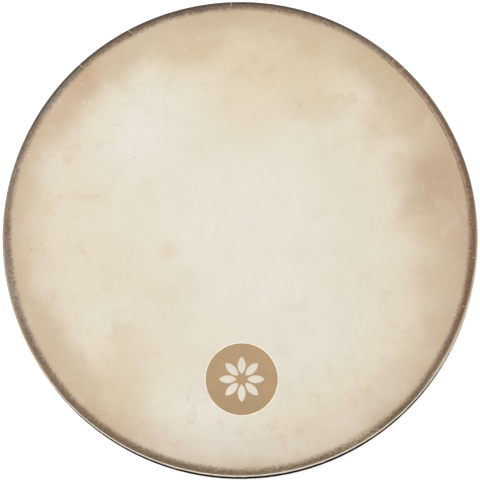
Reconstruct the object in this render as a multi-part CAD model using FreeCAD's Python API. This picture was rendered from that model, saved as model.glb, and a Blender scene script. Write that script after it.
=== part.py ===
import FreeCAD, Part
import math
import os

# Plain frame drum with a fixed head: a goatskin glued over a laminated hardwood hoop.
# The drum lies on its open back rim. The origin is the centre of that rim, +Z runs up
# through the head, and -Y points to the printed mark. All lengths are millimetres and
# all bearings are degrees, anticlockwise from +X as seen from above the head.

INCH = 25.4

# Driving dimensions
DRUM_DIAMETER = 18 * INCH
DRUM_DEPTH = 2.5 * INCH
SKIN_THICKNESS = 0.7
SKIRT_DEPTH = 19.0

PLY_COUNT = 6
PLY_THICKNESS = 1.2
PLY_SEAM_GAP = 0.3
FIRST_SEAM_BEARING = 99.0
SEAM_STAGGER = 138.0

BEARING_EDGE_ROUND = 4.0
BEARING_EDGE_BEVEL = 2.0
BACK_RIM_ROUND = 1.0

THUMB_HOLE_DIAMETER = 22.0
THUMB_HOLE_HEIGHT = 24.0
THUMB_HOLE_BEARING = 306.0
THUMB_HOLE_ROUND = 1.0

MARK_CENTRE = (1.6, -135.9)
MARK_DIAMETER = 69.1
MARK_OUTLINE_WIDTH = 0.9
INK_THICKNESS = 0.1
PETAL_COUNT = 8
PETAL_INNER_RADIUS = 5.0
PETAL_OUTER_RADIUS = 22.0
PETAL_WIDTH = 7.6

# Worked out from the driving dimensions
SKIN_RADIUS = DRUM_DIAMETER / 2
SHELL_RADIUS = SKIN_RADIUS - SKIN_THICKNESS
SHELL_THICKNESS = PLY_COUNT * PLY_THICKNESS
SHELL_BORE_RADIUS = SHELL_RADIUS - SHELL_THICKNESS
SHELL_TOP = DRUM_DEPTH - SKIN_THICKNESS
SKIRT_EDGE = DRUM_DEPTH - SKIRT_DEPTH

ORIGIN = FreeCAD.Vector(0, 0, 0)
UP = FreeCAD.Vector(0, 0, 1)
OUTWARD = FreeCAD.Vector(1, 0, 0)


def side_point(radius, height):
    """A point of a profile in the XZ plane, by its distance from the drum's axis."""
    return FreeCAD.Vector(radius, 0, height)


def line(start, end):
    return Part.LineSegment(start, end).toShape()


def quarter_round(start, centre, end):
    """The arc from start to end whose middle lies away from the centre, along the corner."""
    towards_middle = ((start - centre) + (end - centre)).normalize()
    middle = centre + towards_middle * (start - centre).Length
    return Part.Arc(start, middle, end).toShape()


def face_of(edges):
    return Part.Face(Part.Wire(edges))


def polygon_face(points):
    return Part.Face(Part.makePolygon(points + points[:1]))


def turned(face, axis_point=ORIGIN, axis=UP, sweep=360):
    return face.revolve(axis_point, axis, sweep)


def at_bearing(shape, bearing):
    """A copy of the shape, carried round the drum's axis."""
    return shape.rotated(ORIGIN, UP, bearing)


def shell_profile():
    """Section of the hoop wall: rounded outside and bevelled inside at the top, eased at the back."""
    inner = SHELL_BORE_RADIUS
    outer = SHELL_RADIUS
    ease = BACK_RIM_ROUND
    inner_foot = side_point(inner + ease, 0)
    outer_foot = side_point(outer - ease, 0)
    outer_foot_end = side_point(outer, ease)
    shoulder_start = side_point(outer, SHELL_TOP - BEARING_EDGE_ROUND)
    shoulder_end = side_point(outer - BEARING_EDGE_ROUND, SHELL_TOP)
    crest_end = side_point(inner + BEARING_EDGE_BEVEL, SHELL_TOP)
    bevel_end = side_point(inner, SHELL_TOP - BEARING_EDGE_BEVEL)
    inner_foot_end = side_point(inner, ease)
    shoulder_centre = side_point(outer - BEARING_EDGE_ROUND, SHELL_TOP - BEARING_EDGE_ROUND)
    return face_of([
        line(inner_foot, outer_foot),
        quarter_round(outer_foot, side_point(outer - ease, ease), outer_foot_end),
        line(outer_foot_end, shoulder_start),
        quarter_round(shoulder_start, shoulder_centre, shoulder_end),
        line(shoulder_end, crest_end),
        line(crest_end, bevel_end),
        line(bevel_end, inner_foot_end),
        quarter_round(inner_foot_end, side_point(inner + ease, ease), inner_foot),
    ])


def skin_profile():
    """Half section of the skin: flat disc, rounded shoulder, and the skirt down the side."""
    bend = BEARING_EDGE_ROUND
    bend_centre = side_point(SHELL_RADIUS - bend, SHELL_TOP - bend)
    axis_top = side_point(0, DRUM_DEPTH)
    axis_under = side_point(0, SHELL_TOP)
    disc_top_end = side_point(bend_centre.x, DRUM_DEPTH)
    disc_under_end = side_point(bend_centre.x, SHELL_TOP)
    skirt_outside_top = side_point(SKIN_RADIUS, bend_centre.z)
    skirt_inside_top = side_point(SHELL_RADIUS, bend_centre.z)
    skirt_outside_edge = side_point(SKIN_RADIUS, SKIRT_EDGE)
    skirt_inside_edge = side_point(SHELL_RADIUS, SKIRT_EDGE)
    return face_of([
        line(axis_under, axis_top),
        line(axis_top, disc_top_end),
        quarter_round(disc_top_end, bend_centre, skirt_outside_top),
        line(skirt_outside_top, skirt_outside_edge),
        line(skirt_outside_edge, skirt_inside_edge),
        line(skirt_inside_edge, skirt_inside_top),
        quarter_round(skirt_inside_top, bend_centre, disc_under_end),
        line(disc_under_end, axis_under),
    ])


def ply(number):
    """One bent ply. Its ends meet at a butt seam, staggered from ply to ply."""
    inner = SHELL_BORE_RADIUS + (number - 1) * PLY_THICKNESS
    outer = inner + PLY_THICKNESS
    strip = polygon_face([
        side_point(inner, 0),
        side_point(outer, 0),
        side_point(outer, SHELL_TOP),
        side_point(inner, SHELL_TOP),
    ])
    section = shell_profile().common(strip).Faces[0]
    seam_angle = math.degrees(PLY_SEAM_GAP / inner)
    seam_bearing = FIRST_SEAM_BEARING + (number - 1) * SEAM_STAGGER
    return at_bearing(turned(section, sweep=360 - seam_angle), seam_bearing + seam_angle / 2)


def thumb_hole_cutter():
    """A round cutter along +X through the hoop wall, flared where it meets each face."""
    bore = THUMB_HOLE_DIAMETER / 2
    flare = THUMB_HOLE_ROUND
    clear_of_wall = 5.0
    wide = bore + flare
    inner_face = SHELL_BORE_RADIUS
    outer_face = SHELL_RADIUS
    outline = face_of([
        line(side_point(inner_face - clear_of_wall, 0), side_point(outer_face + clear_of_wall, 0)),
        line(side_point(outer_face + clear_of_wall, 0), side_point(outer_face + clear_of_wall, wide)),
        line(side_point(outer_face + clear_of_wall, wide), side_point(outer_face, wide)),
        flare_arc(outer_face, -1),
        line(side_point(outer_face - flare, bore), side_point(inner_face + flare, bore)),
        flare_arc(inner_face, 1),
        line(side_point(inner_face, wide), side_point(inner_face - clear_of_wall, wide)),
        line(side_point(inner_face - clear_of_wall, wide), side_point(inner_face - clear_of_wall, 0)),
    ])
    cutter = turned(outline, axis=OUTWARD)
    cutter.translate(UP * THUMB_HOLE_HEIGHT)
    return at_bearing(cutter, THUMB_HOLE_BEARING)


def flare_arc(face_distance, into_wall):
    """The eased lip of the thumb hole, from a wall face to the bore."""
    bore = THUMB_HOLE_DIAMETER / 2
    centre = side_point(face_distance + into_wall * THUMB_HOLE_ROUND, bore + THUMB_HOLE_ROUND)
    at_face = side_point(face_distance, centre.z)
    at_bore = side_point(centre.x, bore)
    return quarter_round(at_face, centre, at_bore)


def ink_disc(radius):
    """A thin round film of ink on top of the head, centred on the mark."""
    centre = FreeCAD.Vector(MARK_CENTRE[0], MARK_CENTRE[1], DRUM_DEPTH)
    return Part.makeCylinder(radius, INK_THICKNESS, centre)


def petal(bearing):
    """A pointed leaf of two equal arcs, left bare in the printed disc."""
    inner = FreeCAD.Vector(0, PETAL_INNER_RADIUS, 0)
    outer = FreeCAD.Vector(0, PETAL_OUTER_RADIUS, 0)
    middle = (inner + outer) * 0.5
    half_width = OUTWARD * (PETAL_WIDTH / 2)
    leaf = face_of([
        Part.Arc(inner, middle + half_width, outer).toShape(),
        Part.Arc(outer, middle - half_width, inner).toShape(),
    ])
    leaf.rotate(ORIGIN, UP, bearing)
    leaf.translate(FreeCAD.Vector(MARK_CENTRE[0], MARK_CENTRE[1], DRUM_DEPTH))
    return leaf.extrude(UP * INK_THICKNESS)


def printed_disc():
    """The disc of the mark, with a rosette of petals left bare in it."""
    bare = [petal(index * 360 / PETAL_COUNT) for index in range(PETAL_COUNT)]
    return ink_disc(MARK_DIAMETER / 2).cut(Part.makeCompound(bare))


def printed_outline():
    """The thin pale line round the disc."""
    disc_radius = MARK_DIAMETER / 2
    return ink_disc(disc_radius + MARK_OUTLINE_WIDTH).cut(ink_disc(disc_radius))


def ply_name(number):
    suffix = {1: "_inner", PLY_COUNT: "_outer"}.get(number, "")
    return "ply_{}{}".format(number, suffix)


def build():
    """Every piece of the drum, by name."""
    thumb_hole = thumb_hole_cutter()
    pieces = {ply_name(number): ply(number).cut(thumb_hole) for number in range(1, PLY_COUNT + 1)}
    pieces["skin_head"] = turned(skin_profile())
    pieces["printed_disc"] = printed_disc()
    pieces["printed_outline"] = printed_outline()
    return pieces


os.makedirs("parts", exist_ok=True)
for name, piece in build().items():
    piece.exportStep(os.path.join("parts", name + ".step"))
    box = piece.BoundBox
    print("{:14s} {:3d} solids  {:10.1f} mm3  {:.2f} x {:.2f} x {:.2f} mm  valid {}".format(
        name, len(piece.Solids), piece.Volume, box.XLength, box.YLength, box.ZLength, piece.isValid()))
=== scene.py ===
import math

import bmesh
import bpy
from mathutils import Matrix, Vector
from mathutils import noise as lumps


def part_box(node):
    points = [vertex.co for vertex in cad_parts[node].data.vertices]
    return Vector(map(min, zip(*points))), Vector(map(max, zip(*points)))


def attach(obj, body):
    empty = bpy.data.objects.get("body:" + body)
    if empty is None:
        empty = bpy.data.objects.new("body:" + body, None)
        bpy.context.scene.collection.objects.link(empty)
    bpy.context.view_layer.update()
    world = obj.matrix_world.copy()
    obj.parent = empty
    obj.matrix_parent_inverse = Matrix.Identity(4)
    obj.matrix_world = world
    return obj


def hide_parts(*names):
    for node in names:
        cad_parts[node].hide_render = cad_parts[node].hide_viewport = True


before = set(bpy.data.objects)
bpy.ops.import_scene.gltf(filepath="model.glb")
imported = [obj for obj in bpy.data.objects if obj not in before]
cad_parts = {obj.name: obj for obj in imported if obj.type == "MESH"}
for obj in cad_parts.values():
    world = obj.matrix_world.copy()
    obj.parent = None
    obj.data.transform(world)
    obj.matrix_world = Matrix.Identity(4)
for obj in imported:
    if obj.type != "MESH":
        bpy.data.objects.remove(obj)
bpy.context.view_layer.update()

bl_info = {
    "name": "Goatskin Frame Drum",
    "version": (1, 0, 0),
    "blender": (4, 5, 0),
    "location": "View3D > Sidebar > Frame Drum",
    "description": "Goatskin, stained plies and printed mark for a laminated hoop drum",
    "category": "Add Mesh",
}

# Places that come from the frame, in metres
SKIN_LOW, SKIN_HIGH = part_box("skin_head")
OUTER_PLY_LOW, OUTER_PLY_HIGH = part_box("ply_6_outer")
DISC_LOW, DISC_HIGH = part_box("printed_disc")

HEAD_TOP = SKIN_HIGH.z
SKIN_RADIUS = (SKIN_HIGH.x - SKIN_LOW.x) / 2
SKIRT_EDGE = SKIN_LOW.z
HOOP_RADIUS = (OUTER_PLY_HIGH.x - OUTER_PLY_LOW.x) / 2
SKIN_THICKNESS = SKIN_RADIUS - HOOP_RADIUS
MARK_CENTRE = (DISC_LOW + DISC_HIGH) / 2
MARK_RADIUS = (DISC_HIGH.x - DISC_LOW.x) / 2

# Sizes of the hoop that no box of the frame gives, in metres
SHOULDER_RADIUS = 0.004
PLY_COUNT = 6
PLY_THICKNESS = 0.0012
HOOP_BORE_RADIUS = HOOP_RADIUS - PLY_COUNT * PLY_THICKNESS
THUMB_HOLE_BEARING = math.radians(306.0)
THUMB_HOLE_HEIGHT = 0.024
THUMB_HOLE_RADIUS = 0.011

# The skin bends over the bearing edge and then hangs straight from SKIRT_TOP down
SKIN_BEND = SHOULDER_RADIUS + SKIN_THICKNESS
SKIRT_TOP = HEAD_TOP - SHOULDER_RADIUS - SKIN_THICKNESS
QUARTER_TURN = math.radians(90)
SPIN_STEPS = 540

# How drying pulled the skin about, near the hoop only: lumps to a radius along the hoop
# and to a metre downwards, and lifts in metres
PULLED_RIM = 0.008
PULL_FADE = 0.004
PUCKER_LUMPS = (34, 30)
RIPPLE_LUMPS = (90, 40)
RIPPLE_OUT = 0.00012
RIPPLE_ON_SHOULDER = 0.00006
EDGE_PUCKER = 0.0005
EDGE_RIPPLE = 0.0003

# The studio
WHITE = (1.0, 1.0, 1.0, 1.0)
PAPER = (0.88, 0.88, 0.88, 1.0)
PAPER_GLOW = 0.62
AIR_STRENGTH = 0.52
FLOOR_HALF_WIDTH = 6.0
SENSOR_WIDTH = 36.0
LENS_REACH = 100.0
AIM = Vector((0.0, -0.0017, HEAD_TOP))


def shade(red, green, blue):
    """A colour given in 0-255 screen values, as the linear values that shaders take."""
    def linear(value):
        value = value / 255
        return value / 12.92 if value <= 0.04045 else ((value + 0.055) / 1.055) ** 2.4
    return (linear(red), linear(green), linear(blue), 1.0)


# ---------------------------------------------------------------- settings


class SkinSettings(bpy.types.PropertyGroup):
    cream: bpy.props.FloatVectorProperty(
        name="Cream", description="Colour of the middle of the head",
        subtype="COLOR", size=4, default=shade(234, 227, 211), min=0, max=1)
    straw: bpy.props.FloatVectorProperty(
        name="Straw", description="Colour between the middle and the edge",
        subtype="COLOR", size=4, default=shade(230, 217, 193), min=0, max=1)
    tan: bpy.props.FloatVectorProperty(
        name="Tan", description="Colour of the skin close to the hoop",
        subtype="COLOR", size=4, default=shade(206, 181, 152), min=0, max=1)
    over_wood: bpy.props.FloatVectorProperty(
        name="Over wood", description="Colour where the skin lies on the dark bearing edge",
        subtype="COLOR", size=4, default=shade(124, 98, 79), min=0, max=1)
    flesh_side: bpy.props.FloatVectorProperty(
        name="Flesh side", description="Colour of the skin's inner face",
        subtype="COLOR", size=4, default=shade(216, 200, 172), min=0, max=1)
    pucker_depth: bpy.props.FloatProperty(
        name="Pucker depth", description="How far small puckers lift the skirt near its edge",
        unit="LENGTH", default=0.0005, min=0.0, max=0.002, precision=5)
    edge_wander: bpy.props.FloatProperty(
        name="Edge wander", description="How far the knife strayed along the skirt's edge",
        unit="LENGTH", default=0.0012, min=0.0, max=0.004, precision=5)


class HoopSettings(bpy.types.PropertyGroup):
    stain: bpy.props.FloatVectorProperty(
        name="Stain", description="Colour of the stained wood between its pores",
        subtype="COLOR", size=4, default=shade(62, 44, 34), min=0, max=1)
    pores: bpy.props.FloatVectorProperty(
        name="Pores", description="Colour that has gathered in the grain",
        subtype="COLOR", size=4, default=shade(24, 17, 14), min=0, max=1)
    bare_wood: bpy.props.FloatVectorProperty(
        name="Rubbed wood", description="Colour where handling has rubbed the stain thin",
        subtype="COLOR", size=4, default=shade(124, 84, 54), min=0, max=1)
    glue: bpy.props.FloatVectorProperty(
        name="Glue line", description="Colour of the lines between plies",
        subtype="COLOR", size=4, default=shade(22, 15, 11), min=0, max=1)


class MarkSettings(bpy.types.PropertyGroup):
    ink: bpy.props.FloatVectorProperty(
        name="Ink", description="Colour of the printed disc",
        subtype="COLOR", size=4, default=shade(176, 146, 107), min=0, max=1)
    outline: bpy.props.FloatVectorProperty(
        name="Outline", description="Colour of the thin line round the disc",
        subtype="COLOR", size=4, default=shade(255, 246, 224), min=0, max=1)


class StudioSettings(bpy.types.PropertyGroup):
    camera_azimuth: bpy.props.FloatProperty(
        name="Camera azimuth", description="Bearing that the camera looks from, 0 along +Y",
        subtype="ANGLE", default=math.radians(7.0))
    camera_elevation: bpy.props.FloatProperty(
        name="Camera elevation", description="Height of the camera above the head",
        subtype="ANGLE", default=math.radians(85.5), max=math.radians(89.9))
    camera_distance: bpy.props.FloatProperty(
        name="Camera distance", description="From the head's centre to the camera",
        unit="LENGTH", default=20.0, min=1.0, max=22.0)
    frame_width: bpy.props.FloatProperty(
        name="Frame width", description="Width that the picture takes in at the head",
        unit="LENGTH", default=0.4615, min=0.1, max=2.0, precision=4)
    key_power: bpy.props.FloatProperty(
        name="Key power", description="Power of the large light on the left, in watts",
        default=27.0, min=0.0, max=500.0)
    top_power: bpy.props.FloatProperty(
        name="Top power", description="Power of the overhead softbox, in watts",
        default=42.0, min=0.0, max=500.0)


def settings(name):
    return getattr(bpy.context.scene, name)


# ---------------------------------------------------------------- shader writing


class Wire:
    """One output of a node, on which sums can be written."""

    def __init__(self, paint, socket):
        self.paint = paint
        self.socket = socket

    def maths(self, operation, *values):
        return self.paint.node("ShaderNodeMath", {"operation": operation}, list(enumerate(values)))

    def __add__(self, other):
        return self.maths("ADD", self, other)

    def __radd__(self, other):
        return self.maths("ADD", other, self)

    def __sub__(self, other):
        return self.maths("SUBTRACT", self, other)

    def __rsub__(self, other):
        return self.maths("SUBTRACT", other, self)

    def __mul__(self, other):
        return self.maths("MULTIPLY", self, other)

    def __rmul__(self, other):
        return self.maths("MULTIPLY", other, self)

    def __truediv__(self, other):
        return self.maths("DIVIDE", self, other)

    def __abs__(self):
        return self.maths("ABSOLUTE", self)

    def root(self):
        return self.maths("SQRT", self)

    def floor(self):
        return self.maths("FLOOR", self)

    def fraction(self):
        return self.maths("FRACT", self)

    def largest(self, other):
        return self.maths("MAXIMUM", self, other)


class Paint:
    """One procedural material under construction."""

    def __init__(self, name):
        self.material = bpy.data.materials.new(name)
        self.material.use_nodes = True
        self.tree = self.material.node_tree
        self.tree.nodes.clear()
        self.place = self.node("ShaderNodeTexCoord", output="Object")
        self.x, self.y, self.z = self.split(self.place)
        self.radius = (self.x * self.x + self.y * self.y).root()

    def node(self, kind, options=None, inputs=(), output=0):
        """Adds a node: its options first, then the values or links of its inputs."""
        made = self.tree.nodes.new(kind)
        for key, value in (options or {}).items():
            if key == "stops":
                self.set_stops(made.color_ramp, value)
            else:
                setattr(made, key, value)
        for key, value in inputs:
            if isinstance(value, Wire):
                self.tree.links.new(value.socket, made.inputs[key])
            else:
                made.inputs[key].default_value = value
        return Wire(self, made.outputs[output]) if made.outputs else None

    @staticmethod
    def set_stops(ramp, stops):
        while len(ramp.elements) < len(stops):
            ramp.elements.new(1.0)
        for element, (position, colour) in zip(ramp.elements, stops):
            element.position = position
            element.color = colour

    def split(self, vector):
        parts = self.node("ShaderNodeSeparateXYZ", inputs=[(0, vector)])
        return [Wire(self, socket) for socket in parts.socket.node.outputs]

    def join(self, x, y, z):
        return self.node("ShaderNodeCombineXYZ", inputs=[(0, x), (1, y), (2, z)])

    def noise(self, feature, where=None, detail=4.0, roughness=0.55, distortion=0.0, seed=0.0):
        """Soft noise from 0 to 1 whose lumps are about feature metres across."""
        where = where or self.place
        if seed:
            where = self.node("ShaderNodeVectorMath", {"operation": "ADD"},
                              [(0, where), (1, (seed, seed * 0.7, seed * 1.3))])
        return self.node("ShaderNodeTexNoise", {"noise_dimensions": "3D"}, [
            ("Vector", where), ("Scale", 1 / feature), ("Detail", detail),
            ("Roughness", roughness), ("Distortion", distortion)])

    def cells(self, feature, where=None, kind="F1", output="Distance"):
        """Uneven cells, each about feature metres across."""
        return self.node("ShaderNodeTexVoronoi", {"feature": kind}, [
            ("Vector", where or self.place), ("Scale", 1 / feature)], output=output)

    def rise(self, value, low, high):
        """0 below low, 1 above high and smooth between them. low may be the larger."""
        return self.node("ShaderNodeMapRange", {"interpolation_type": "SMOOTHSTEP"}, [
            ("Value", value), ("From Min", low), ("From Max", high),
            ("To Min", 0.0), ("To Max", 1.0)])

    def mix(self, amount, under, over, blend="MIX"):
        return self.node("ShaderNodeMix", {"data_type": "RGBA", "blend_type": blend}, [
            (0, amount), (6, under), (7, over)], output=2)

    def ramp(self, value, stops):
        """A colour that changes along a value, by its stops."""
        return self.node("ShaderNodeValToRGB", {"stops": stops}, [("Fac", value)])

    def oval(self, where, middle, reach, turn):
        """How far a place is from the middle of an oval, 1 on its outline."""
        local = self.node("ShaderNodeMapping", {"vector_type": "TEXTURE"}, [
            ("Vector", where), ("Location", (*middle, 0.0)), ("Rotation", (0.0, 0.0, turn)),
            ("Scale", (*reach, 1.0))])
        return self.node("ShaderNodeVectorMath", {"operation": "LENGTH"}, [(0, local)],
                         output="Value")

    def tint(self, colour, amount, strength):
        """Lightens or darkens a colour by a noise value around one half."""
        grey = self.node("ShaderNodeMapRange", inputs=[
            ("Value", amount), ("From Min", 0.25), ("From Max", 0.75),
            ("To Min", 1 - strength), ("To Max", 1 + strength)])
        return self.mix(1.0, colour, self.join(grey, grey, grey), "MULTIPLY")

    def shift(self, where, by, amount):
        """A place pushed about by a noise colour, so that shapes on it get soft uneven edges."""
        centred = self.node("ShaderNodeVectorMath", {"operation": "SUBTRACT"},
                            [(0, by), (1, (0.5, 0.5, 0.5))])
        scaled = self.node("ShaderNodeVectorMath", {"operation": "SCALE"},
                           [(0, centred), ("Scale", amount)])
        return self.node("ShaderNodeVectorMath", {"operation": "ADD"}, [(0, where), (1, scaled)])

    def wander(self, feature, seed):
        """A noise colour for shift()."""
        got = self.noise(feature, seed=seed, detail=3.0)
        return Wire(self, got.socket.node.outputs["Color"])

    def along_hoop(self, lengthwise, across):
        """A place whose noise runs in long streaks round the hoop, with no seam."""
        round_x = self.x / self.radius * (HOOP_RADIUS / lengthwise)
        round_y = self.y / self.radius * (HOOP_RADIUS / lengthwise)
        return self.join(round_x, round_y, (self.z + self.radius * 1.7) / across)

    def finish(self, colour, roughness, height=None, depth=0.0002, **others):
        """Ends the material. Relief of one unit of height stands depth metres proud."""
        inputs = [("Base Color", colour), ("Roughness", roughness)]
        if height is not None:
            inputs.append(("Normal", self.node("ShaderNodeBump", inputs=[
                ("Height", height), ("Distance", depth), ("Strength", 1.0)])))
        names = {"specular": "Specular IOR Level", "coat": "Coat Weight",
                 "coat_roughness": "Coat Roughness", "subsurface": "Subsurface Weight",
                 "glow": "Emission Color", "glow_strength": "Emission Strength"}
        inputs += [(names[key], value) for key, value in others.items()]
        shader = self.node("ShaderNodeBsdfPrincipled", inputs=inputs)
        self.node("ShaderNodeOutputMaterial", inputs=[("Surface", shader)])
        return self.material


# ---------------------------------------------------------------- materials


# Stains that the hide kept, as soft ovals: middle and reach as shares of the drum's
# radius, turn of the long side in degrees, softness of the edge from 0 to 1, strength
# and colour
STAINS = (
    ((-0.42, 0.46), (0.34, 0.26), 40, 0.9, 0.50, shade(237, 234, 226)),
    ((-0.76, 0.32), (0.12, 0.20), 0, 0.9, 0.40, shade(234, 228, 214)),
    ((-0.56, -0.34), (0.16, 0.12), 0, 0.9, 0.45, shade(234, 228, 216)),
    ((0.30, -0.45), (0.42, 0.30), 20, 0.9, 0.40, shade(234, 230, 221)),
    ((0.93, 0.12), (0.22, 0.54), 5, 0.95, 0.54, shade(196, 166, 138)),
    ((0.80, 0.26), (0.19, 0.19), 25, 0.95, 0.60, shade(189, 151, 119)),
    ((0.76, 0.14), (0.13, 0.09), 10, 0.7, 0.40, shade(190, 158, 124)),
    ((0.78, -0.17), (0.14, 0.16), -6, 1.0, 0.50, shade(200, 167, 136)),
    ((0.74, 0.48), (0.18, 0.13), 45, 1.0, 0.52, shade(202, 171, 138)),
    ((0.90, -0.34), (0.14, 0.22), -18, 0.8, 0.34, shade(205, 182, 158)),
    ((0.20, 0.76), (0.44, 0.24), -10, 0.8, 0.42, shade(220, 196, 158)),
    ((0.03, 0.58), (0.24, 0.30), 14, 0.7, 0.36, shade(226, 205, 171)),
    ((0.30, 0.56), (0.17, 0.11), -15, 0.7, 0.36, shade(214, 190, 150)),
    ((0.26, 0.82), (0.12, 0.09), 0, 0.8, 0.36, shade(206, 180, 138)),
    ((0.58, 0.68), (0.22, 0.12), -42, 0.7, 0.50, shade(200, 174, 134)),
    ((-0.20, 0.78), (0.20, 0.15), 8, 0.95, 0.56, shade(212, 182, 140)),
    ((-0.10, 0.92), (0.24, 0.07), 8, 0.8, 0.40, shade(200, 174, 136)),
    ((-0.67, 0.67), (0.17, 0.11), 46, 1.0, 0.66, shade(204, 165, 130)),
    ((-0.69, 0.58), (0.30, 0.09), 50, 0.9, 0.50, shade(206, 177, 148)),
    ((-0.48, 0.74), (0.20, 0.10), 34, 0.8, 0.40, shade(208, 186, 152)),
    ((-0.96, 0.10), (0.06, 0.34), 0, 0.8, 0.35, shade(202, 182, 154)),
    ((-0.76, -0.48), (0.34, 0.13), -56, 0.7, 0.50, shade(204, 180, 152)),
    ((-0.50, -0.62), (0.20, 0.13), -50, 0.7, 0.40, shade(214, 190, 156)),
    ((-0.46, -0.46), (0.16, 0.12), -20, 0.7, 0.30, shade(220, 198, 166)),
    ((-0.28, -0.26), (0.22, 0.15), 10, 1.0, 0.26, shade(222, 202, 172)),
    ((-0.33, -0.06), (0.080, 0.070), 0, 1.0, 0.34, shade(218, 192, 158)),
    ((-0.46, -0.16), (0.34, 0.30), 0, 1.0, 0.24, shade(226, 208, 178)),
    ((0.02, -0.88), (0.54, 0.14), 0, 0.9, 0.70, shade(229, 220, 206)),
    ((0.60, -0.66), (0.22, 0.10), 44, 0.9, 0.45, shade(222, 210, 194)),
    ((-0.82, -0.20), (0.09, 0.14), 10, 0.9, 0.45, shade(232, 222, 204)),
    ((0.79, 0.03), (0.13, 0.15), 0, 1.0, 0.50, shade(206, 174, 142)),
    ((0.60, 0.50), (0.16, 0.13), 40, 1.0, 0.40, shade(210, 182, 144)),
    ((0.16, 0.74), (0.34, 0.12), -6, 1.0, 0.24, shade(214, 188, 148)),
    ((-0.14, -0.72), (0.42, 0.20), 4, 1.0, 0.70, shade(238, 232, 222)),
    ((0.44, -0.78), (0.22, 0.13), 28, 1.0, 0.45, shade(232, 223, 207)),
)

# Hues of the dark band where the skin lies on the hoop, the greyer ones on the left (142 to 192
# degrees)
# partly a painted sheen of the key light: bearing in degrees, reach as a share of the drum's radius,
# strength and colour
BAND_HUES_AND_SHEEN = (
    (18, 0.66, 0.95, shade(126, 90, 68)),
    (345, 0.36, 1.00, shade(116, 74, 50)),
    (62, 0.34, 0.90, shade(128, 110, 98)),
    (106, 0.46, 1.00, shade(92, 70, 65)),
    (142, 0.26, 1.00, shade(128, 121, 112)),
    (166, 0.30, 0.90, shade(134, 121, 111)),
    (192, 0.26, 0.90, shade(148, 138, 126)),
    (278, 0.46, 0.90, shade(148, 125, 101)),
    (301, 0.17, 1.00, shade(172, 153, 126)),
    (320, 0.20, 0.80, shade(130, 104, 80)),
)

# Distances in from the rim, in metres: where the dark band begins and where it is full, and
# the painted highlight and painted shade lines inside the crest on the side facing
# SECOND_LINE_BEARING
BAND_BEGINS, BAND_FULL = 0.0094, 0.0036
HIGHLIGHT_LINE_INSET, SHADE_LINE_INSET = 0.0058, 0.0070
SECOND_LINE_BEARING = math.radians(30)

# Heights over the skirt's edge between which the stain of the wood fades out
BAND_LOWEST, BAND_WHOLE = 0.0122, 0.0134

# Pale creases across the dark band: bearing in degrees, and how far each leans
CREASES = (
    (132.7, 0.2), (118.3, 0.5), (92.0, -0.3), (49.4, 0.2), (46.0, -0.2), (355.3, 0.1), (343.3, 0.3),
)

# Stray specks and short pale scuffs: size of a cell in metres, seed, rarity from 0 to 1,
# reach of the speck as a share of its cell, stretch, colour and strength
FLECKS = (
    (0.0100, 2.0, 0.78, 0.085, (1.0, 1.0, 1.0), shade(140, 112, 84), 0.60),
    (0.0125, 6.0, 0.80, 0.080, (1.0, 1.0, 1.0), shade(255, 248, 232), 0.60),
    (0.0050, 8.0, 0.88, 0.110, (1.0, 1.0, 1.0), shade(158, 128, 96), 0.45),
    (0.0150, 13.0, 0.72, 0.070, (0.30, 1.4, 1.0), shade(250, 240, 222), 0.55),
    (0.0150, 17.0, 0.76, 0.060, (1.4, 0.26, 1.0), shade(170, 142, 108), 0.42),
)


def stained_cream(paint, skin):
    """Cream in the middle, straw and tan towards the hoop, with the hide's own stains."""
    drifted = paint.shift(paint.place, paint.wander(0.110, seed=3.1), 0.034)
    drifted = paint.shift(drifted, paint.wander(0.030, seed=7.7), 0.011)
    drifted = paint.shift(drifted, paint.wander(0.009, seed=2.3), 0.005)
    dx, dy, _ = paint.split(drifted)
    flat_place = paint.join(dx / SKIN_RADIUS, dy / SKIN_RADIUS, 0.0)
    share = (dx * dx + dy * dy).root() / SKIN_RADIUS
    colour = paint.ramp(share, (
        (0.25, tuple(skin.cream)), (0.78, tuple(skin.straw)), (0.97, tuple(skin.tan))))
    for middle, reach, turn, softness, strength, stain in STAINS:
        away = paint.oval(flat_place, middle, reach, math.radians(turn))
        colour = paint.mix(paint.rise(away, 1.0, 1.0 - softness) * strength, colour, stain)
    return colour


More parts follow.
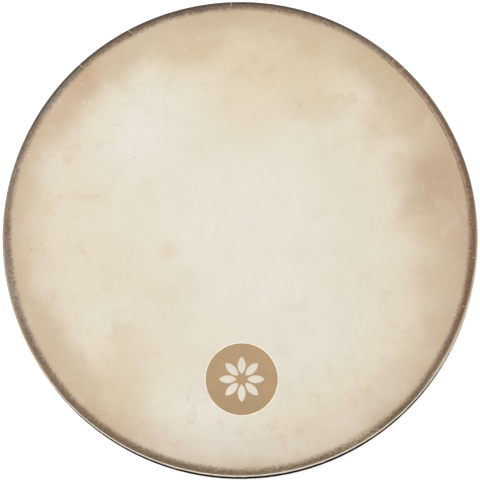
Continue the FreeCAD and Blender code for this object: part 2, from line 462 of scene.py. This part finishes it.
def dark_band(paint, skin, colour):
    """Dark wood shows through where the skin lies on the bearing edge, with painted shade along its
    outer edge, most on the top side, and painted sheen in the greyer hues on the left.

    Gives the colour with the band on it, and how much of the band there is.
    """
    inset = SKIN_RADIUS - paint.radius
    right_side = paint.rise(paint.x, 0.04, 0.20)
    ragged = paint.noise(0.0085, detail=6.0, roughness=0.68, seed=20.0)
    slow = paint.noise(0.070, detail=2.0, seed=22.0)
    grain = paint.noise(0.0022, detail=4.0, roughness=0.75, seed=61.0)
    mottle = paint.noise(0.0042, detail=4.0, roughness=0.70, seed=25.0)
    top_part = paint.rise(paint.y, 0.12, 0.20)
    flanks = paint.rise(paint.y, 0.06, -0.02) * paint.rise(abs(paint.x), 0.165, 0.195)
    uneven_inset = (inset + 0.0004 * right_side - 0.0008 * top_part - 0.0018 * flanks
                    + 0.0032 * (ragged - 0.5) + 0.0034 * (slow - 0.5) + 0.0060 * (grain - 0.5))
    amount = paint.rise(uneven_inset, BAND_BEGINS, BAND_FULL)
    pale_lip = flanks * paint.rise(inset + 0.0012 * (mottle - 0.5), 0.0026, 0.0014)
    amount = amount * (1.0 - pale_lip * (0.45 + 0.35 * right_side))
    lower_side = paint.rise(paint.y - 0.25 * paint.x, 0.08, -0.10)
    stain_end = paint.z - 0.0026 * lower_side + 0.0010 * (mottle - 0.5)
    amount = amount * paint.rise(stain_end, SKIRT_EDGE + BAND_LOWEST, SKIRT_EDGE + BAND_WHOLE)

    tone = tuple(skin.over_wood)
    # the band's own hues, with a painted sheen of the key light in the greyer hues on the left
    for bearing, spread, strength, hue in BAND_HUES_AND_SHEEN:
        angle = math.radians(bearing)
        middle = (SKIN_RADIUS * math.cos(angle), SKIN_RADIUS * math.sin(angle), HEAD_TOP)
        away = paint.node("ShaderNodeVectorMath", {"operation": "DISTANCE"},
                          [(0, paint.place), (1, middle)], output="Value")
        tone = paint.mix(paint.rise(away, spread * SKIN_RADIUS, 0.0) * strength, tone, hue)
    tone = paint.tint(tone, mottle, 0.36)
    tone = paint.tint(tone, grain, 0.80)
    purple = paint.rise(paint.noise(0.0036, detail=3.0, seed=41.0), 0.50, 0.62)
    olive = paint.rise(paint.noise(0.0036, detail=3.0, seed=47.0), 0.50, 0.62)
    tone = paint.mix(purple * 0.55, tone, shade(126, 78, 80))
    tone = paint.mix(olive * 0.55, tone, shade(122, 112, 66))
    # painted shade: the outer edge of the band is darkened a little all round and most on the top
    # side
    shaded_top_side = paint.rise(paint.y - 0.3 * paint.x, 0.54 * SKIN_RADIUS, 0.84 * SKIN_RADIUS)
    painted_rim_shade = paint.rise(inset + 0.0014 * (mottle - 0.5), 0.0040, 0.0012)
    tone = paint.mix(painted_rim_shade * (0.20 + 0.80 * shaded_top_side), tone, shade(30, 25, 21))

    crease = creases(paint, inset)
    tone = paint.mix(crease * 0.62, tone, shade(206, 192, 172))
    # painted highlight and painted shade lines for a dip in the skin inside the crest
    colour = painted_dip_lines(paint, inset + 0.0018 * (slow - 0.5) + 0.0012 * (grain - 0.5), colour)
    return paint.mix(amount * (0.84 + 0.16 * mottle), colour, tone), amount


def painted_dip_lines(paint, inset, colour):
    """On one side, just inside the crest, a pale painted highlight line with a dark painted shade
    line beside it, for a dip in the skin.
    """
    bearing = SECOND_LINE_BEARING
    along = paint.x * math.cos(bearing) + paint.y * math.sin(bearing)
    side = paint.rise(along, 0.87 * SKIN_RADIUS, 0.93 * SKIN_RADIUS)
    # pale is a painted highlight line, dark a painted shade line beside it
    pale = paint.rise(abs(inset - HIGHLIGHT_LINE_INSET), 0.0008, 0.0003)
    dark = paint.rise(abs(inset - SHADE_LINE_INSET), 0.0009, 0.0003)
    colour = paint.mix(pale * side * 0.40, colour, shade(218, 198, 176))
    return paint.mix(dark * side * 0.55, colour, shade(126, 96, 76))


def creases(paint, inset):
    """Hairline creases that cross the band, a little off square."""
    total = 0.0
    for bearing, lean in CREASES:
        angle = math.radians(bearing)
        outward = paint.x * math.cos(angle) + paint.y * math.sin(angle)
        beside = paint.y * math.cos(angle) - paint.x * math.sin(angle)
        hair = paint.rise(abs(beside + lean * inset), 0.00060, 0.00020)
        total = hair * paint.rise(outward, 0.1, 0.15) + total
    return total * paint.rise(inset, 0.0062, 0.0040)


def goatskin():
    skin = settings("drum_skin")
    paint = Paint("goatskin")
    colour = stained_cream(paint, skin)

    clouds = paint.noise(0.045, detail=7.0, roughness=0.62, seed=1.9)
    fine = paint.noise(0.006, detail=5.0, roughness=0.65, seed=4.4)
    warmth = paint.noise(0.024, detail=5.0, roughness=0.6, distortion=0.4, seed=6.1)
    near_edge = paint.rise(paint.radius, 0.35 * SKIN_RADIUS, 0.90 * SKIN_RADIUS)
    colour = paint.tint(colour, clouds, 0.020)
    colour = paint.tint(colour, fine, 0.014)
    colour = paint.mix(paint.rise(warmth, 0.52, 0.70) * (0.08 + 0.24 * near_edge),
                       colour, shade(206, 182, 142))
    blush = paint.noise(0.013, detail=5.0, roughness=0.65, distortion=0.6, seed=64.0)
    colour = paint.mix(paint.rise(blush, 0.54, 0.70) * (0.06 + 0.24 * near_edge),
                       colour, shade(212, 182, 156))
    colour = paint.mix(paint.rise(blush, 0.42, 0.28) * 0.22 * near_edge,
                       colour, shade(232, 222, 196))
    colour = paint.mix(paint.rise(warmth, 0.46, 0.30) * 0.16, colour, shade(238, 233, 222))

    # faint branching veins, and hair pores in short rows
    vein_place = paint.shift(paint.place, paint.wander(0.018, seed=5.2), 0.013)
    vein = paint.rise(paint.cells(0.052, vein_place, "DISTANCE_TO_EDGE"), 0.012, 0.0)
    vein = vein * paint.rise(paint.noise(0.06, seed=9.0), 0.48, 0.66)
    colour = paint.mix(vein * 0.10, colour, shade(196, 170, 140))
    pore_place = paint.node("ShaderNodeMapping", inputs=[
        ("Vector", paint.place), ("Rotation", (0.0, 0.0, math.radians(24))),
        ("Scale", (1.0, 0.55, 1.0))])
    pore = paint.rise(paint.cells(0.0017, pore_place), 0.20, 0.05)
    pore_patch = paint.rise(paint.noise(0.03, seed=12.0), 0.42, 0.62)
    colour = paint.mix(pore * pore_patch * 0.20, colour, shade(176, 146, 112))
    colour = flecks(paint, colour, near_edge)

    # the inner face is paler than the outer one and shows fibres
    inner_face = paint.rise(paint.z, HEAD_TOP - 0.35 * SKIN_THICKNESS,
                            HEAD_TOP - 0.65 * SKIN_THICKNESS)
    inner_face = inner_face * paint.rise(paint.radius, HOOP_BORE_RADIUS + 0.004,
                                         HOOP_BORE_RADIUS + 0.002)
    fibres = paint.noise(0.010, detail=8.0, roughness=0.7, distortion=1.4, seed=15.0)
    flesh = paint.tint(paint.mix(0.45, colour, tuple(skin.flesh_side)), fibres, 0.06)
    colour = paint.mix(inner_face, colour, flesh)

    banded, band = dark_band(paint, skin, colour)
    colour = paint.mix(inner_face, banded, colour)

    # on the skirt: blotches, and dirt and glue along the cut edge
    on_skirt = paint.rise(paint.z, SKIRT_EDGE + 0.0175, SKIRT_EDGE + 0.0150) * (1.0 - band)
    skirt_blotch = paint.noise(0.012, detail=6.0, roughness=0.65, seed=33.0)
    skirt_tone = paint.mix(paint.rise(skirt_blotch, 0.35, 0.70),
                           shade(236, 228, 210), shade(214, 198, 170))
    colour = paint.mix(on_skirt * 0.85, colour, skirt_tone)
    cut_edge = paint.rise(paint.z + 0.0016 * skirt_blotch,
                          SKIRT_EDGE + 0.0036, SKIRT_EDGE + 0.0010)
    colour = paint.mix(cut_edge * 0.55, colour, shade(122, 96, 70))

    wrinkles = paint.noise(1.0, paint.along_hoop(0.0035, 0.0200), detail=3.0, seed=36.0)
    drawn_over_edge = paint.noise(0.0030, detail=5.0, roughness=0.7, seed=52.0)
    height = (0.35 * clouds + 0.30 * fine + 0.10 * fibres * inner_face - 0.25 * pore * pore_patch
              + 0.16 * vein + 0.5 * wrinkles * on_skirt + 0.20 * drawn_over_edge * band)
    roughness = 0.50 + 0.16 * fine - 0.10 * band + 0.12 * inner_face
    return paint.finish(colour, roughness, height, depth=0.00022, specular=0.20, subsurface=0.06)


def flecks(paint, colour, near_edge):
    """Puts a fleck in one cell out of a few, most of them near the edge."""
    for size, seed, rarity, reach, stretch, tone, strength in FLECKS:
        moved = paint.node("ShaderNodeMapping", inputs=[
            ("Vector", paint.place), ("Location", (seed, seed, 0.0)), ("Scale", stretch)])
        near = paint.cells(size, moved)
        pick = paint.split(paint.cells(size, moved, output="Color"))[0]
        rare = paint.rise(pick + 0.16 * (near_edge - 0.5), rarity, rarity + 0.04)
        speck = paint.rise(near, reach, reach * 0.4) * rare
        colour = paint.mix(speck * strength, colour, tone)
    return colour


def stained_wood(name, seed, lightness, gloss):
    """Dark stained ply: grain in long streaks round the hoop, glue lines, and rubbed edges."""
    hoop = settings("drum_hoop")
    paint = Paint(name)
    grain = paint.noise(1.0, paint.along_hoop(0.120, 0.0022), detail=6.0, roughness=0.6,
                        distortion=0.25, seed=seed)
    figure = paint.noise(1.0, paint.along_hoop(0.300, 0.0140), detail=3.0, distortion=0.6,
                         seed=seed + 1.0)
    pore = paint.noise(1.0, paint.along_hoop(0.011, 0.00042), detail=3.0, roughness=0.7,
                       seed=seed + 2.0)
    open_pore = paint.rise(pore, 0.60, 0.70)
    colour = paint.mix(paint.rise(grain, 0.32, 0.68), tuple(hoop.pores), tuple(hoop.stain))
    colour = paint.tint(colour, figure, 0.30)
    colour = paint.mix(open_pore * 0.75, colour, shade(14, 10, 8))
    bright = paint.mix(1.0, colour, (lightness, lightness, lightness, 1.0), "MULTIPLY")

    # edges of the plies, seen at the back rim and in the thumb hole
    into_wall = (paint.radius - HOOP_BORE_RADIUS) / PLY_THICKNESS
    across_ply = abs(into_wall.fraction() - 0.5)
    within_wall = (paint.rise(into_wall, 0.04, 0.10)
                   * paint.rise(into_wall, PLY_COUNT - 0.04, PLY_COUNT - 0.10))
    ply_tone = paint.node("ShaderNodeTexWhiteNoise", {"noise_dimensions": "1D"},
                          [("W", into_wall.floor() + 0.5)])
    edge_fibres = paint.noise(0.0011, detail=5.0, roughness=0.7, seed=seed + 5.0)
    edge_wood = paint.mix(ply_tone, shade(70, 47, 33), shade(112, 76, 50))
    edge_wood = paint.tint(edge_wood, edge_fibres, 0.25)
    glue_line = paint.rise(across_ply, 0.40, 0.48)
    edge_wood = paint.mix(glue_line, edge_wood, tuple(hoop.glue))
    colour = paint.mix(within_wall, bright, edge_wood)

    # stain rubbed thin on the eased corners of the back rim and round the thumb hole
    worn_noise = paint.noise(0.009, detail=6.0, roughness=0.7, seed=seed + 7.0)
    rim_corner = paint.rise(paint.z - 0.0012 * worn_noise, 0.0011, 0.0001)
    hole_axis = Vector((math.cos(THUMB_HOLE_BEARING), math.sin(THUMB_HOLE_BEARING), 0.0))
    beside = paint.x * -hole_axis.y + paint.y * hole_axis.x
    above = paint.z - THUMB_HOLE_HEIGHT
    ahead = paint.x * hole_axis.x + paint.y * hole_axis.y
    from_hole = (beside * beside + above * above).root()
    lip = paint.rise(from_hole - 0.0016 * worn_noise,
                     THUMB_HOLE_RADIUS + 0.0008, THUMB_HOLE_RADIUS)
    lip = lip * paint.rise(ahead, 0.0, 0.1)
    rubbed = rim_corner.largest(lip) * (1.0 - within_wall) * paint.rise(worn_noise, 0.34, 0.60)
    colour = paint.mix(rubbed * 0.7, colour, tuple(hoop.bare_wood))

    # fine scratches and dust marks in the finish
    streaks = paint.noise(1.0, paint.along_hoop(0.035, 0.0035), detail=2.0, distortion=2.0,
                          seed=seed + 9.0)
    scratches = paint.rise(streaks, 0.69, 0.72)
    colour = paint.mix(scratches * 0.16, colour, shade(150, 128, 104))
    roughness = 0.60 + 0.12 * grain + 0.10 * scratches
    height = (0.5 * grain - 0.9 * open_pore - 0.8 * glue_line * within_wall
              + 0.4 * edge_fibres * within_wall)
    facing = paint.node("ShaderNodeLayerWeight", inputs=[("Blend", 0.5)], output="Facing")
    varnish = paint.rise(facing, 0.93, 0.74) * (1.0 - within_wall)
    return paint.finish(colour, roughness, height, depth=0.00012, specular=0.0,
                        coat=0.45 * varnish, coat_roughness=gloss)


def printed_ink(name, ink, seed):
    """Screen ink with cloudy cover: warm and golden patches, darker low down and along the rim."""
    paint = Paint(name)
    ink = tuple(ink)
    cloud = paint.noise(0.016, detail=5.0, roughness=0.6, seed=seed)
    speckle = paint.noise(0.0016, detail=5.0, roughness=0.7, seed=seed + 3.0)
    warm = paint.noise(0.010, detail=3.0, seed=seed + 5.0)
    golden = paint.noise(0.006, detail=4.0, roughness=0.65, seed=seed + 6.0)
    colour = paint.tint(ink, cloud, 0.07)
    colour = paint.tint(colour, speckle, 0.08)
    colour = paint.mix(paint.rise(warm, 0.48, 0.66) * 0.42, colour,
                       paint.mix(0.5, ink, shade(200, 146, 106)))
    colour = paint.mix(paint.rise(golden, 0.52, 0.66) * 0.40, colour,
                       paint.mix(0.6, ink, shade(186, 158, 92)))
    low_part = paint.rise(paint.y, MARK_CENTRE.y - 0.004, MARK_CENTRE.y - 0.026)
    beside, above = paint.x - MARK_CENTRE.x, paint.y - MARK_CENTRE.y
    from_middle = (beside * beside + above * above).root()
    rim = paint.rise(from_middle, MARK_RADIUS - 0.0016, MARK_RADIUS - 0.0002)
    within = paint.rise(from_middle, MARK_RADIUS + 0.0001, MARK_RADIUS - 0.0001)
    shaded = paint.mix(0.5, ink, shade(132, 108, 78))
    colour = paint.mix((low_part * 0.22).largest(rim * 0.55) * within, colour, shaded)
    pin_holes = (paint.rise(paint.cells(0.0030), 0.14, 0.05)
                 * paint.rise(paint.noise(0.012, seed=seed + 8.0), 0.5, 0.6))
    colour = paint.mix(pin_holes * 0.35, colour, shade(222, 206, 176))
    roughness = 0.46 + 0.14 * speckle
    height = 0.7 * speckle - 0.5 * pin_holes
    return paint.finish(colour, roughness, height, depth=0.00006, specular=0.45)


def pale_floor():
    """White paper that glows, so that shadows on it are faint. Under the drum the glow is dim and
    brown, a painted shade inside the drum.
    """
    paint = Paint("pale_paper")
    fibre = paint.noise(0.004, detail=4.0, roughness=0.6)
    colour = paint.tint(PAPER, fibre, 0.004)
    # painted shade: the glow is dim and brown under the drum
    painted_shade_under_drum = paint.rise(paint.radius, HOOP_BORE_RADIUS + 0.004, HOOP_BORE_RADIUS)
    glow = paint.mix(painted_shade_under_drum, WHITE, shade(92, 74, 52))
    return paint.finish(colour, 0.9, specular=0.1, glow=glow, glow_strength=PAPER_GLOW)


# ---------------------------------------------------------------- pieces


def new_piece(name, mesh_maker, material):
    """A named object made by a function that fills a bmesh."""
    mesh = bpy.data.meshes.new(name)
    bm = bmesh.new()
    mesh_maker(bm)
    bm.to_mesh(mesh)
    bm.free()
    mesh.materials.append(material)
    piece = bpy.data.objects.new(name, mesh)
    bpy.context.scene.collection.objects.link(piece)
    return piece


def skin_section():
    """The skin's outer face in section, from the middle of the head to the cut edge."""
    bend_centre = Vector((SKIN_RADIUS - SKIN_BEND, 0, HEAD_TOP - SKIN_BEND))
    flat_rings = 14
    points = [Vector((bend_centre.x * ring / flat_rings, 0, HEAD_TOP)) for ring in range(flat_rings)]
    bend_steps = 9
    for step in range(bend_steps + 1):
        angle = QUARTER_TURN * step / bend_steps
        points.append(bend_centre + SKIN_BEND * Vector((math.sin(angle), 0, math.cos(angle))))
    skirt_steps = 14
    skirt_depth = bend_centre.z - SKIRT_EDGE
    for step in range(1, skirt_steps + 1):
        points.append(Vector((SKIN_RADIUS, 0, bend_centre.z - skirt_depth * step / skirt_steps)))
    return points


def fill_skin(bm):
    """Spins the section, then pulls it about as wetting and drying pull a real skin."""
    skin = settings("drum_skin")
    corners = [bm.verts.new(point) for point in skin_section()]
    edges = [bm.edges.new(pair) for pair in zip(corners, corners[1:])]
    bmesh.ops.spin(bm, geom=corners + edges, cent=(0, 0, 0), axis=(0, 0, 1), angle=math.tau,
                   steps=SPIN_STEPS, use_merge=True, use_duplicate=False)
    bmesh.ops.remove_doubles(bm, verts=bm.verts, dist=1e-6)
    bmesh.ops.recalc_face_normals(bm, faces=bm.faces)
    for vert in bm.verts:
        if vert.co.xy.length > SKIN_RADIUS - PULLED_RIM:
            pull_skin(vert, skin)
    for face in bm.faces:
        face.smooth = True


def lump(outward, height, scales):
    """Noise from -1 to 1 on the side of the drum, by its scales along and down."""
    along, down = scales
    return lumps.noise(Vector((outward.x * along, outward.y * along, height * down)))


def pull_skin(vert, skin):
    """Lifts small puckers down the skirt, lets its edge wander, and leaves the shoulder uneven."""
    bearing = math.atan2(vert.co.y, vert.co.x)
    outward = Vector((math.cos(bearing), math.sin(bearing), 0))
    down = max(0.0, SKIRT_TOP - vert.co.z) / (SKIRT_TOP - SKIRT_EDGE)
    pucker = lump(outward, vert.co.z, PUCKER_LUMPS)
    ripple = lump(outward, vert.co.z, RIPPLE_LUMPS)
    stray = lumps.noise(outward * 7 + Vector((3.1, 0, 0)))
    if vert.co.z < SKIRT_TOP:
        lift = skin.pucker_depth * down ** 1.5 * max(0.0, pucker)
        vert.co += outward * (lift + RIPPLE_OUT * abs(ripple) * down)
        vert.co.z += down ** 2 * (skin.edge_wander * stray + EDGE_PUCKER * pucker
                                  + EDGE_RIPPLE * ripple)
    else:
        on_shoulder = min(1.0, (vert.co.xy.length - (SKIN_RADIUS - PULLED_RIM)) / PULL_FADE)
        vert.co.z += RIPPLE_ON_SHOULDER * ripple * on_shoulder


# ---------------------------------------------------------------- operators


class DRUM_OT_skin(bpy.types.Operator):
    """Make the goatskin head with its glued-down skirt"""

    bl_idname = "drum.skin"
    bl_label = "Goatskin Head"

    def execute(self, context):
        piece = new_piece("goatskin", fill_skin, goatskin())
        wall = piece.modifiers.new("thickness", "SOLIDIFY")
        wall.thickness = SKIN_THICKNESS
        wall.offset = -1.0
        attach(piece, "root")
        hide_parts("skin_head")
        # the flat middle, the quarter round over the bearing edge, and the straight skirt
        cut_radius = SKIN_RADIUS - SHOULDER_RADIUS - SKIN_THICKNESS
        cut_radius += QUARTER_TURN * SKIN_BEND
        cut_radius += SKIRT_TOP - SKIRT_EDGE
        return {"FINISHED"}


class DRUM_OT_hoop(bpy.types.Operator):
    """Finish the six plies of the hoop in dark stain"""

    bl_idname = "drum.hoop"
    bl_label = "Stained Hoop"

    def execute(self, context):
        finishes = {
            "ply_1_inner": stained_wood("stained_inner_ply", 3.0, 1.35, 0.52),
            "ply_6_outer": stained_wood("stained_outer_ply", 11.0, 0.62, 0.46),
        }
        core = stained_wood("core_ply", 19.0, 1.0, 0.6)
        for number in range(2, PLY_COUNT):
            finishes["ply_{}".format(number)] = core
        for node, material in finishes.items():
            coat(node, material)
        return {"FINISHED"}


class DRUM_OT_mark(bpy.types.Operator):
    """Ink the printed mark on the head"""

    bl_idname = "drum.mark"
    bl_label = "Printed Mark"

    def execute(self, context):
        mark = settings("drum_mark")
        coat("printed_disc", printed_ink("tan_ink", mark.ink, 2.0))
        coat("printed_outline", printed_ink("pale_ink", mark.outline, 9.0))
        return {"FINISHED"}


def coat(node, material):
    """Puts a material on a piece of the frame."""
    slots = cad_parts[node].data.materials
    slots.clear()
    slots.append(material)


class DRUM_OT_studio(bpy.types.Operator):
    """Set up the pale floor, the soft lights and the camera"""

    bl_idname = "drum.studio"
    bl_label = "Studio"

    def execute(self, context):
        studio = settings("drum_studio")
        floor = new_piece("floor", fill_floor, pale_floor())
        softbox("top_softbox", Vector((0.0, 0.3, 3.2)), size=2.6, power=studio.top_power)
        softbox("key_softbox", Vector((-2.4, 0.9, 1.9)), size=1.8, power=studio.key_power)
        world = bpy.data.worlds.new("studio_air")
        world.use_nodes = True
        background = world.node_tree.nodes["Background"]
        background.inputs["Color"].default_value = WHITE
        background.inputs["Strength"].default_value = AIR_STRENGTH
        context.scene.world = world
        context.scene.view_settings.view_transform = "Standard"
        place_camera(context.scene, studio)
        return {"FINISHED"}


def fill_floor(bm):
    bmesh.ops.create_grid(bm, x_segments=2, y_segments=2, size=FLOOR_HALF_WIDTH)


def softbox(name, place, size, power):
    """A square area light that faces the middle of the floor."""
    light = bpy.data.lights.new(name, "AREA")
    light.shape = "SQUARE"
    light.size = size
    light.energy = power
    lamp = bpy.data.objects.new(name, light)
    facing = place.to_track_quat("Z", "Y").to_matrix().to_4x4()
    lamp.matrix_world = Matrix.Translation(place) @ facing
    bpy.context.scene.collection.objects.link(lamp)


def place_camera(scene, studio):
    """A long lens, almost straight above the head."""
    azimuth, elevation = studio.camera_azimuth, studio.camera_elevation
    away = Vector((math.sin(azimuth) * math.cos(elevation),
                   -math.cos(azimuth) * math.cos(elevation), math.sin(elevation)))
    lens = bpy.data.cameras.new("studio_camera")
    lens.sensor_width = SENSOR_WIDTH
    lens.lens = lens.sensor_width * studio.camera_distance / studio.frame_width
    lens.clip_end = LENS_REACH
    camera = bpy.data.objects.new("studio_camera", lens)
    place = AIM + away * studio.camera_distance
    side = Vector((0.0, 1.0, 0.0)).cross(away).normalized()
    facing = Matrix((side, away.cross(side), away)).transposed().to_4x4()
    camera.matrix_world = Matrix.Translation(place) @ facing
    scene.collection.objects.link(camera)
    scene.camera = camera


class DRUM_PT_sidebar(bpy.types.Panel):
    bl_label = "Frame Drum"
    bl_idname = "DRUM_PT_sidebar"
    bl_space_type = "VIEW_3D"
    bl_region_type = "UI"
    bl_category = "Frame Drum"

    def draw(self, context):
        for operator, group in STEPS:
            box = self.layout.box()
            box.operator(operator.bl_idname)
            owner = getattr(context.scene, group)
            for name in owner.__annotations__:
                box.prop(owner, name)


STEPS = (
    (DRUM_OT_hoop, "drum_hoop"),
    (DRUM_OT_skin, "drum_skin"),
    (DRUM_OT_mark, "drum_mark"),
    (DRUM_OT_studio, "drum_studio"),
)
GROUPS = {
    "drum_hoop": HoopSettings,
    "drum_skin": SkinSettings,
    "drum_mark": MarkSettings,
    "drum_studio": StudioSettings,
}


def register():
    for name, group in GROUPS.items():
        bpy.utils.register_class(group)
        setattr(bpy.types.Scene, name, bpy.props.PointerProperty(type=group))
    for operator, _ in STEPS:
        bpy.utils.register_class(operator)
    bpy.utils.register_class(DRUM_PT_sidebar)


def unregister():
    bpy.utils.unregister_class(DRUM_PT_sidebar)
    for operator, _ in reversed(STEPS):
        bpy.utils.unregister_class(operator)
    for name, group in reversed(GROUPS.items()):
        delattr(bpy.types.Scene, name)
        bpy.utils.unregister_class(group)


def main():
    register()
    bpy.ops.drum.hoop()
    bpy.ops.drum.skin()
    bpy.ops.drum.mark()
    bpy.ops.drum.studio()


if __name__ == "__main__":
    main()
